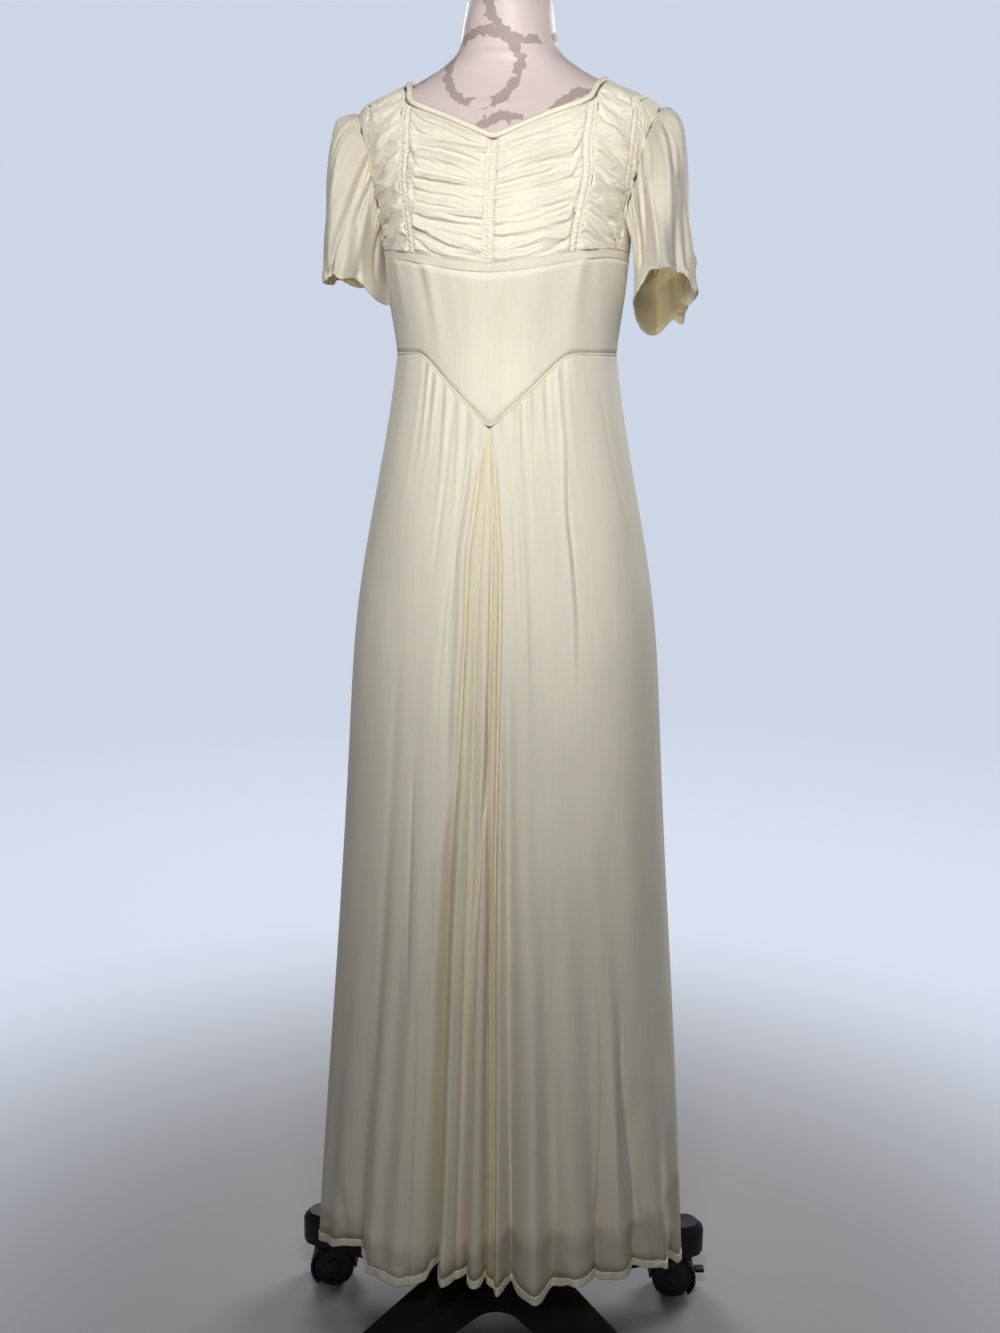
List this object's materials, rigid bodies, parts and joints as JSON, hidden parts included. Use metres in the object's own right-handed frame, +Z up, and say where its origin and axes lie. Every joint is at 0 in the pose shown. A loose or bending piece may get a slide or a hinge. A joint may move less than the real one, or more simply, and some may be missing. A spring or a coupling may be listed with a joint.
{
  "type": "milkmaid dress on dress form",
  "caption": "Long ivory crepe gown with shirred sweetheart bodice, pointed waist and short puffed sleeves, on a padded dress form with a caster base.",
  "frame": {"origin": "on the floor, under the middle of the form and its base", "axes": "+Z up, -Y out of the front of the gown, +X to the viewer's right"},
  "size_m": [0.5519, 0.5677, 1.6823],
  "materials": {
    "crepe": "soft ivory crepe chiffon, matt",
    "lining": "plain ivory lining",
    "form_cover": "pale pink satin",
    "base_plastic": "black moulded plastic",
    "post": "black",
    "caster_wheel": "black plastic tread"
  },
  "bodies": {
    "dress_and_form": {"form_torso": "form_cover", "neck_cap": "base_plastic", "form_post": "post", "star_base": "base_plastic", "shirred_channel_centre": "crepe", "bust_centre_left": "crepe", "bust_side_left": "crepe", "bust_armhole_left": "crepe", "shirred_channel_princess_left": "crepe", "shirred_channel_outer_left": "crepe", "bust_centre_right": "crepe", "bust_side_right": "crepe", "bust_armhole_right": "crepe", "shirred_channel_princess_right": "crepe", "shirred_channel_outer_right": "crepe", "under_bust_band": "crepe", "midriff_front": "crepe", "midriff_back": "crepe", "back_panel_right": "crepe", "back_panel_left": "crepe", "neck_binding": "crepe", "waist_piping_front": "crepe", "waist_piping_back": "crepe", "skirt_front": "crepe", "skirt_hem_front": "crepe", "skirt_back": "crepe", "skirt_hem_back": "crepe", "sleeve_left": "crepe", "sleeve_hem_left": "crepe", "sleeve_right": "crepe", "sleeve_hem_right": "crepe", "lining_edge_front": "lining", "lining_edge_back": "lining"},
    "caster_1": {"caster_housing_1": "base_plastic"},
    "wheels_1": {"caster_wheels_1": "caster_wheel"},
    "caster_2": {"caster_housing_2": "base_plastic"},
    "wheels_2": {"caster_wheels_2": "caster_wheel"},
    "caster_3": {"caster_housing_3": "base_plastic"},
    "wheels_3": {"caster_wheels_3": "caster_wheel"},
    "brake": {"brake_pedal": "base_plastic"},
    "caster_4": {"caster_housing_4": "base_plastic"},
    "wheels_4": {"caster_wheels_4": "caster_wheel"},
    "caster_5": {"caster_housing_5": "base_plastic"},
    "wheels_5": {"caster_wheels_5": "caster_wheel"}
  },
  "joints": [
    {"name": "caster_1_swivel", "type": "hinge", "parent": "dress_and_form", "child": "caster_1", "pos_m": [-0.1296, -0.23, 0.075], "axis": [0, 0, 1], "continuous": true},
    {"name": "caster_1_roll", "type": "hinge", "parent": "caster_1", "child": "wheels_1", "pos_m": [-0.13004, -0.24799, 0.02746], "axis": [0.9997, -0.0244, 0], "continuous": true},
    {"name": "caster_2_swivel", "type": "hinge", "parent": "dress_and_form", "child": "caster_2", "pos_m": [0.17869, -0.19433, 0.075], "axis": [0, 0, 1], "continuous": true},
    {"name": "caster_2_roll", "type": "hinge", "parent": "caster_2", "child": "wheels_2", "pos_m": [0.17575, -0.21209, 0.02746], "axis": [0.9866, -0.1633, 0], "continuous": true},
    {"name": "caster_3_swivel", "type": "hinge", "parent": "dress_and_form", "child": "caster_3", "pos_m": [0.24004, 0.1099, 0.075], "axis": [0, 0, 1], "continuous": true},
    {"name": "caster_3_roll", "type": "hinge", "parent": "caster_3", "child": "wheels_3", "pos_m": [0.22224, 0.10721, 0.02746], "axis": [0.1495, -0.9888, 0], "continuous": true},
    {"name": "caster_3_brake", "type": "hinge", "parent": "caster_3", "child": "brake", "pos_m": [0.25487, 0.11214, 0.0275], "axis": [-0.1495, 0.9888, 0], "range_deg": [-12, 0]},
    {"name": "caster_4_swivel", "type": "hinge", "parent": "dress_and_form", "child": "caster_4", "pos_m": [-0.03034, 0.26225, 0.075], "axis": [0, 0, 1], "continuous": true},
    {"name": "caster_4_roll", "type": "hinge", "parent": "caster_4", "child": "wheels_4", "pos_m": [-0.03749, 0.24573, 0.02746], "axis": [0.9178, -0.3971, 0], "continuous": true},
    {"name": "caster_5_swivel", "type": "hinge", "parent": "dress_and_form", "child": "caster_5", "pos_m": [-0.25879, 0.05218, 0.075], "axis": [0, 0, 1], "continuous": true},
    {"name": "caster_5_roll", "type": "hinge", "parent": "caster_5", "child": "wheels_5", "pos_m": [-0.24099, 0.05487, 0.02746], "axis": [-0.1495, 0.9888, 0], "continuous": true}
  ]
}
